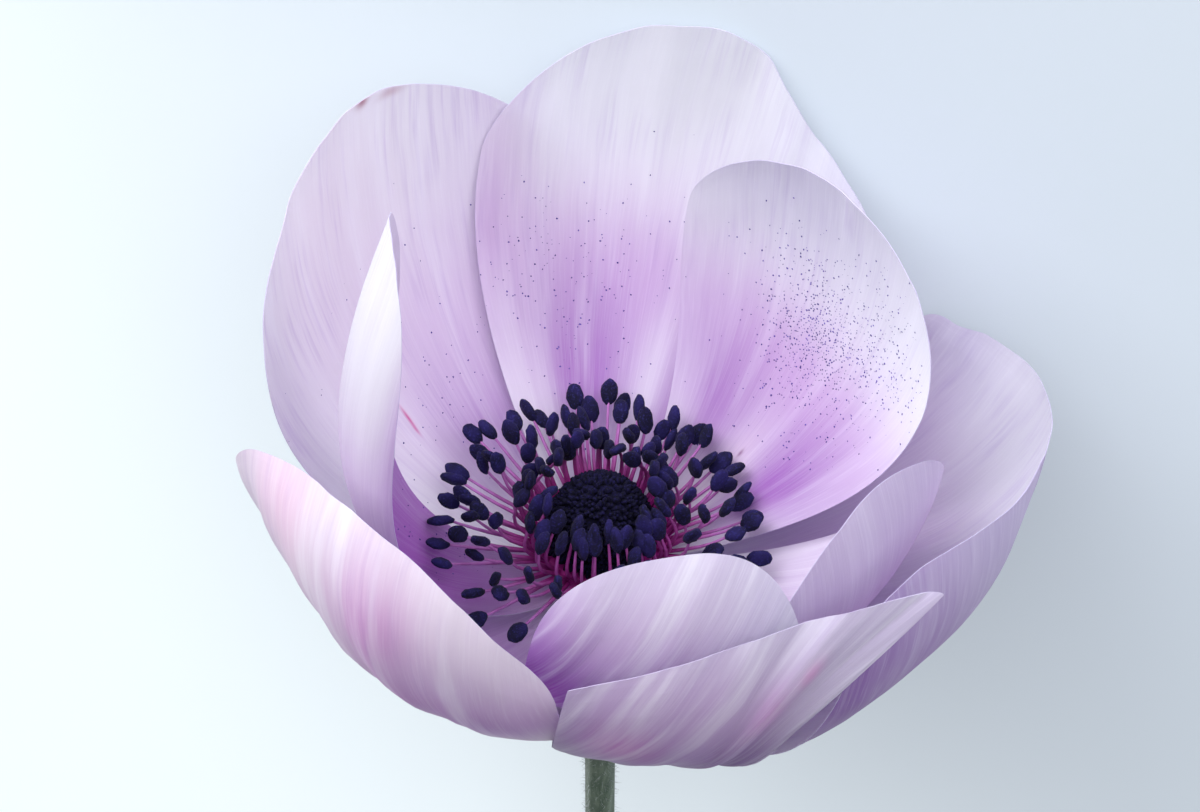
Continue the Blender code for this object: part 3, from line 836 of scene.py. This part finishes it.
def antherMaterial():
    material = newMaterial("anther")
    tree = material.node_tree
    place = objectPlace(tree)
    grain = noiseAt(tree, place, 5200.0, 2.0, 0.6)
    patches = noiseAt(tree, place, 420.0, 2.0)
    colour = mixColours(tree, clampRange(tree, patches, 0.38, 0.66), srgb(9, 6, 34), srgb(24, 18, 66))
    speckle = maths(tree, "MULTIPLY", clampRange(tree, grain, 0.5, 0.75), 0.5)
    colour = mixColours(tree, speckle, colour, srgb(46, 44, 112))
    bump = bumpFrom(tree, grain, 0.8, 0.0001)
    simpleShader(tree, colour, bump, 0.85, 0.0, 0.02)
    return material


def filamentMaterial():
    material = newMaterial("filament")
    tree = material.node_tree
    place = objectPlace(tree)
    # distance from the collar, so that the filaments are deepest in colour at their roots
    centre = tuple(toWorld @ Vector((0, 0, 6.5 * mm)))
    gap = addNode(tree, "ShaderNodeVectorMath", {0: place, 1: centre}, operation="DISTANCE").outputs["Value"]
    streak = noiseAt(tree, place, 900.0, 2.0)
    outer = clampRange(tree, gap, 5.5 * mm, 12.5 * mm)
    colour = mixColours(tree, outer, srgb(150, 28, 122), srgb(186, 120, 192))
    colour = mixColours(tree, clampRange(tree, streak, 0.4, 0.7, 0.0, 0.35), colour, srgb(112, 30, 108))
    bump = bumpFrom(tree, streak, 0.3, 0.00005)
    simpleShader(tree, colour, bump, 0.45, 0.25)
    return material


def makeStamens():
    vertices, edges = [], []
    for path in stamenPaths():
        start = len(vertices)
        vertices += [toWorld @ point for point in path]
        edges += [(start, start + 1), (start + 1, start + 2)]
    piece = meshObject("stamen_ring", vertices, [], edges)
    anther = antherShape()
    growTree(piece, stamenTree(), {
        "Filament Radius": stamens["filamentRadius"] * mm, "Anther": anther, "Smallest": 0.82,
        "Roughness": 0.3 * mm, "Seed": 7,
        "Filament Material": filamentMaterial(), "Anther Material": antherMaterial()})
    dropTemplate(anther)
    return piece


stamenRing = makeStamens()
inner, outer, bottom, top = stamens["collar"]
ringProfile = [
    (inner, bottom), (inner, top), (inner + 0.5, top + 0.15), (outer - 0.5, top + 0.15),
    (outer, top - 0.1), (outer, bottom + 0.2), (outer - 0.5, bottom), (inner, bottom)]
collar = turnedPiece("stamen_collar", ringProfile, 64)
collar.data.materials.append(bpy.data.materials["filament"])
finishPiece(stamenRing, "stamen", "stamens")
finishPiece(collar, "stamen", "stamens")
print("stamens done")


# carpels
carpels = {
    "radius": 5.1,
    "bottom": 6.9,
    "top": 14.0,
    "plug": 2.2,
    "plugBottom": 5.3,
    "styles": 6.0e6,        # per square metre
    "styleLength": 1.1,
    "styleRadius": 0.3,
}


def styleShape():
    shape = bmesh.new()
    bmesh.ops.create_uvsphere(shape, u_segments=6, v_segments=5, radius=0.5)
    for vertex in shape.verts:
        x, y, z = vertex.co
        narrow = 1 - 0.45 * max(z, 0)
        vertex.co = Vector((x * 2 * carpels["styleRadius"] * narrow + 0.2 * z * z * carpels["styleLength"],
                            y * 2 * carpels["styleRadius"] * narrow,
                            (z + 0.2) * carpels["styleLength"])) * mm
    return templateFromBmesh("styleShape", shape)


def carpelMaterial():
    material = newMaterial("carpel")
    tree = material.node_tree
    place = objectPlace(tree)
    grain = noiseAt(tree, place, 3800.0, 3.0, 0.6)
    colour = mixColours(tree, clampRange(tree, grain, 0.4, 0.7), srgb(4, 3, 20), srgb(18, 14, 54))
    bump = bumpFrom(tree, grain, 0.7, 0.00008)
    simpleShader(tree, colour, bump, 0.9)
    return material


scatter = scatterTree("scatterOnSurface")


def makeCarpels():
    steps = 14
    low, high, radius = carpels["bottom"], carpels["top"] - 0.5, carpels["radius"] - 0.4
    profile = [(0, high)]
    for i in range(1, steps + 1):
        angle = math.pi / 2 * i / steps
        profile.append((radius * math.sin(angle), low + (high - low) * math.cos(angle)))
    plug, foot = carpels["plug"], carpels["plugBottom"]
    profile += [(plug, low - 0.1), (plug, foot), (0, foot)]
    piece = turnedPiece("carpel_dome", profile, 48)
    heights = (np.array([v.co for v in piece.data.vertices]) - shiftOnly) @ turnOnly
    setAmount(piece, heights[:, 2] > (low + 0.6) * mm)
    material = carpelMaterial()
    piece.data.materials.append(material)
    style = styleShape()
    growTree(piece, scatter, {
        "Seed": 4, "Density": carpels["styles"], "Shape": style, "Smallest": 0.7, "Tilt": 0.3,
        "Keep Surface": True, "Material": material})
    dropTemplate(style)
    return piece


carpelDome = makeCarpels()
finishPiece(carpelDome, "carpel", "carpels")
print("carpels done")


# stem
stem = {
    "radius": 1.5,
    "length": 105.0,
    "receptacleRadius": 2.45,
    "receptacleTop": 5.0,
    "cushionRadius": 3.9,
    "cushionTop": -0.65,
    "neck": 5.0,
    "hairs": 2.2e6,         # per square metre
    "hairLength": 0.75,
    "hairRadius": 0.028,
}


def hairShape():
    shape = bmesh.new()
    rings = []
    for height, width, lean in ((-0.08, 1.0, 0.0), (0.5, 0.7, 0.05), (1.0, 0.15, 0.22)):
        ring = []
        for k in range(3):
            angle = 2 * math.pi * k / 3
            ring.append(shape.verts.new(Vector((
                width * stem["hairRadius"] * math.cos(angle) + lean * stem["hairLength"],
                width * stem["hairRadius"] * math.sin(angle),
                height * stem["hairLength"])) * mm))
        rings.append(ring)
    for low, high in zip(rings, rings[1:]):
        for k in range(3):
            shape.faces.new((low[k], low[(k + 1) % 3], high[(k + 1) % 3], high[k]))
    shape.faces.new(rings[0])
    shape.faces.new(rings[-1])
    return templateFromBmesh("hairShape", shape)


def stemMaterial():
    material = newMaterial("stem_skin")
    tree = material.node_tree
    place = objectPlace(tree)
    # long streaks: the pattern is stretched along the stem
    stretched = addNode(tree, "ShaderNodeMapping", {"Vector": place, "Scale": (1.0, 0.08, 1.0)}).outputs[0]
    streak = noiseAt(tree, stretched, 1500.0, 3.0, 0.6)
    patches = noiseAt(tree, place, 90.0, 2.0)
    grain = noiseAt(tree, place, 4200.0, 2.0)
    colour = mixColours(tree, clampRange(tree, streak, 0.35, 0.7), srgb(58, 78, 62), srgb(94, 110, 94))
    colour = mixColours(tree, clampRange(tree, patches, 0.4, 0.7, 0.0, 0.5), colour, srgb(84, 84, 84))
    colour = mixColours(tree, clampRange(tree, grain, 0.55, 0.75, 0.0, 0.4), colour, srgb(132, 140, 132))
    height = maths(tree, "MULTIPLY_ADD", streak, 1.0, maths(tree, "MULTIPLY", grain, 0.3))
    bump = bumpFrom(tree, height, 0.5, 0.0002)
    simpleShader(tree, colour, bump, 0.6, 0.0, 0.2)
    return material


def hairMaterial():
    material = newMaterial("stem_hair")
    tree = material.node_tree
    place = objectPlace(tree)
    tone = noiseAt(tree, place, 700.0, 1.0)
    colour = mixColours(tree, clampRange(tree, tone, 0.35, 0.65), srgb(150, 160, 158), srgb(196, 202, 206))
    bump = bumpFrom(tree, tone, 0.1, 0.00002)
    simpleShader(tree, colour, bump, 0.5, 0.3)
    return material


def makeStem():
    profile = [(0, stem["receptacleTop"]), (stem["receptacleRadius"] - 0.2, stem["receptacleTop"]),
               (stem["receptacleRadius"], stem["receptacleTop"] - 0.2)]
    profile += [(stem["receptacleRadius"], h) for h in np.linspace(4.0, stem["cushionTop"] + 0.01, 6)]
    for share in np.linspace(0, 1, 16):
        ease = (1 - math.cos(math.pi * share)) / 2
        radius = stem["cushionRadius"] + (stem["radius"] - stem["cushionRadius"]) * ease
        profile.append((radius, stem["cushionTop"] - stem["neck"] * share))
    foot = stem["cushionTop"] - stem["neck"]
    profile += [(stem["radius"], h) for h in np.linspace(foot, -stem["length"] + 0.15, 120)[1:]]
    profile += [(stem["radius"] - 0.15, -stem["length"]), (stem["radius"] * 0.6, -stem["length"] + 0.12),
                (stem["radius"] * 0.25, -stem["length"] + 0.2), (0, -stem["length"] + 0.2)]
    piece = turnedPiece("stem_body", profile, 40)

    # shallow furrows along the stem, never proud of its round
    points = np.array([v.co for v in piece.data.vertices])
    own = (points - shiftOnly) @ turnOnly
    angle = np.arctan2(own[:, 1], own[:, 0])
    below = rampUp(-own[:, 2], 5 * mm, 12 * mm)
    furrow = 0.5 + 0.5 * np.cos(angle * 9 + 1.2 * np.sin(own[:, 2] / (14 * mm)))
    swell = 0.5 + 0.5 * softNoise(own[:, 2] / (11 * mm), angle * 0, 5)
    shrink = 1 - below * (0.05 * furrow + 0.03 * swell)
    own[:, 0] *= shrink
    own[:, 1] *= shrink
    piece.data.vertices.foreach_set("co", toWorldPoints(own).astype(np.float32).reshape(-1))
    onSkin = (own[:, 2] < -1.2 * mm) & (own[:, 2] > -(stem["length"] - 0.5) * mm)
    setAmount(piece, onSkin)
    piece.data.materials.append(stemMaterial())
    hair = hairShape()
    growTree(piece, scatter, {
        "Seed": 12, "Density": stem["hairs"], "Shape": hair, "Smallest": 0.45, "Tilt": 0.7,
        "Keep Surface": True, "Material": hairMaterial()})
    dropTemplate(hair)
    return piece


stemBody = makeStem()
finishPiece(stemBody, "stem", "stem")
print("stem done")


# pollen on the petals' inner faces
# centre along and across, spread along and across, and strength of each dusting
pollen = {
    "density": 9.0e6,
    "grain": 0.21,          # millimetres across
    "dustings": {
        "petal_right_back": [
            (0.62, 0.05, 0.12, 0.35, 1.0), (0.7, -0.5, 0.14, 0.3, 0.35), (0.42, 0.0, 0.1, 0.6, 0.12)],
        "petal_back": [(0.4, 0.6, 0.15, 0.3, 0.12), (0.48, 0.4, 0.14, 0.6, 0.035)],
        "petal_left_back": [(0.4, 0.0, 0.2, 0.6, 0.04)],
        "petal_left_inner": [(0.35, -0.6, 0.2, 0.5, 0.1)],
    },
}


def pollenMaterial():
    material = newMaterial("pollen_grain")
    tree = material.node_tree
    place = objectPlace(tree)
    tone = noiseAt(tree, place, 600.0, 2.0)
    colour = mixColours(tree, clampRange(tree, tone, 0.35, 0.65), srgb(44, 32, 112), srgb(96, 78, 158))
    bump = bumpFrom(tree, tone, 0.3, 0.00003)
    simpleShader(tree, colour, bump, 0.8)
    return material


def makePollen():
    vertices, faces, amounts = [], [], []
    for name, dustings in pollen["dustings"].items():
        blade = bpy.data.objects[name + "_blade"]
        graph = bpy.context.evaluated_depsgraph_get()
        mesh = blade.evaluated_get(graph).to_mesh()
        uv = mesh.uv_layers["PetalMap"].data
        start = len(vertices)
        vertices += [v.co.copy() for v in mesh.vertices]
        amount = np.zeros(len(mesh.vertices))
        for face in mesh.polygons:
            if face.material_index:
                continue
            faces.append([start + v for v in face.vertices])
            for v, corner in zip(face.vertices, face.loop_indices):
                across, along = uv[corner].uv[0] * 2 - 1, uv[corner].uv[1]
                amount[v] = sum(
                    strength * math.exp(-((along - a) / da) ** 2 - ((across - b) / db) ** 2)
                    for a, b, da, db, strength in dustings)
        amounts.append(amount)
        blade.evaluated_get(graph).to_mesh_clear()
    piece = meshObject("pollen_dust", vertices, faces)
    setAmount(piece, np.concatenate(amounts))
    shape = bmesh.new()
    bmesh.ops.create_icosphere(shape, subdivisions=1, radius=0.5 * pollen["grain"] * mm)
    bmesh.ops.scale(shape, vec=(1.2, 0.9, 0.6), verts=shape.verts)
    grain = templateFromBmesh("grainShape", shape)
    growTree(piece, scatter, {
        "Seed": 31, "Density": pollen["density"], "Shape": grain, "Smallest": 0.3, "Tilt": 0.6,
        "Keep Surface": False, "Material": pollenMaterial()})
    dropTemplate(grain)
    return piece


pollenDust = makePollen()
finishPiece(pollenDust, "stamen")
print("pollen done")


# floor, light and camera
surround = {
    # the floor's colour holds painted light and shade: lighter at the left where the light falls, darker to
    # the right and up the view
    "floorLitLeft": srgb(200, 208, 212),
    "floorShadedRight": srgb(165, 173, 182),
    "shadeFade": 0.14,             # metres over which the painted shade darkens the floor's colour
    "shadeFadeRise": 0.9,          # how much that painted shade runs up the view for each step to its right
    # the floor glows in its own colour: painted light that lifts the shade on the floor and on the bloom
    "glow": 0.54,
    "floorSize": 3.0,
    "floorDrop": 0.0003,      # keeps the floor just clear of the lowest petal
    "air": (0.95, 0.98, 1.0, 1.0),
    "airStrength": 0.4,
}


def makeFloor(shadeFadeAxis):
    half = surround["floorSize"] / 2
    corners = [(-half, -half, 0), (half, -half, 0), (half, half, 0), (-half, half, 0)]
    floor = meshObject("floor", corners, [(0, 1, 2, 3)])
    floor.data.transform(Matrix.Translation((0, 0, -surround["floorDrop"])))
    material = newMaterial("floor_paper")
    tree = material.node_tree
    place = objectPlace(tree)
    # painted shade: the floor's colour darkens along this axis
    along = addNode(tree, "ShaderNodeVectorMath", {0: place, 1: tuple(shadeFadeAxis)}, operation="DOT_PRODUCT")
    shadeFade = clampRange(tree, along.outputs["Value"], -surround["shadeFade"] / 2, surround["shadeFade"] / 2)
    colour = mixColours(tree, shadeFade, surround["floorLitLeft"], surround["floorShadedRight"])
    grain = noiseAt(tree, place, 40.0, 3.0)
    colour = mixColours(tree, maths(tree, "MULTIPLY", grain, 0.05), colour, surround["floorShadedRight"])
    bump = bumpFrom(tree, grain, 0.02, 0.0005)
    # the emission is a painted glow, lighting the bloom from below
    shader = addNode(tree, "ShaderNodeBsdfPrincipled", {
        "Base Color": colour, "Normal": bump, "Roughness": 0.9, "Specular IOR Level": 0.1,
        "Emission Color": colour, "Emission Strength": surround["glow"]})
    addNode(tree, "ShaderNodeOutputMaterial", {0: shader.outputs[0]})
    floor.data.materials.append(material)


def makeWorld():
    world = bpy.data.worlds.new("softAir")
    world.use_nodes = True
    background = world.node_tree.nodes["Background"]
    background.inputs[0].default_value = surround["air"]
    background.inputs[1].default_value = surround["airStrength"]
    bpy.context.scene.world = world


view = {
    "above": 48.0,          # degrees over the rim plane, on the bloom's front side
    "distance": 0.45,
    "aim": 0.025,
    "lens": 149.85,
}


def viewAxes():
    above = math.radians(view["above"])
    turn = toWorld.to_3x3()
    right = turn @ Vector((1, 0, 0))
    upward = turn @ Vector((0, math.sin(above), math.cos(above)))
    towards = turn @ Vector((0, -math.cos(above), math.sin(above)))
    return right, upward, towards


def makeCamera():
    right, upward, towards = viewAxes()
    data = bpy.data.cameras.new("camera")
    data.sensor_width = 36.0
    data.lens = view["lens"]
    data.clip_start = 0.01
    data.clip_end = 20.0
    camera = bpy.data.objects.new("camera", data)
    bpy.context.scene.collection.objects.link(camera)
    place = toWorld @ Vector((0, 0, view["aim"])) + towards * view["distance"]
    camera.matrix_world = Matrix((
        (right.x, upward.x, towards.x, place.x),
        (right.y, upward.y, towards.y, place.y),
        (right.z, upward.z, towards.z, place.z),
        (0, 0, 0, 1),
    ))
    bpy.context.scene.camera = camera


# offset right, up and towards the viewer in metres from the bloom, size in metres, power in watts
lights = {
    "keyLight": ((-0.55, 0.55, 0.55), 0.9, 12.0),
    "rearLight": ((-0.7, 0.65, -0.02), 0.7, 4.0),
    "topLight": ((0, 0.75, 0.5), 0.9, 6.0),
    "frontLight": ((0, 0.2, 1.0), 0.9, 6.0),
    "rightLight": ((0.7, 0.3, 0.6), 0.9, 6.5),
}


def makeAreaLight(name, offset, size, power):
    right, upward, towards = viewAxes()
    data = bpy.data.lights.new(name, "AREA")
    data.shape = "DISK"
    data.size = size
    data.energy = power
    light = bpy.data.objects.new(name, data)
    bpy.context.scene.collection.objects.link(light)
    target = toWorld @ Vector((0, 0, view["aim"]))
    place = target + right * offset[0] + upward * offset[1] + towards * offset[2]
    aim = (place - target).to_track_quat("Z", "Y")
    light.matrix_world = Matrix.Translation(place) @ aim.to_matrix().to_4x4()


viewRight, viewUp = viewAxes()[:2]
makeFloor(viewRight + viewUp * surround["shadeFadeRise"])
makeWorld()
makeCamera()
for name, (offset, size, power) in lights.items():
    makeAreaLight(name, offset, size, power)
bpy.context.scene.view_settings.view_transform = "Standard"
print("stage done")
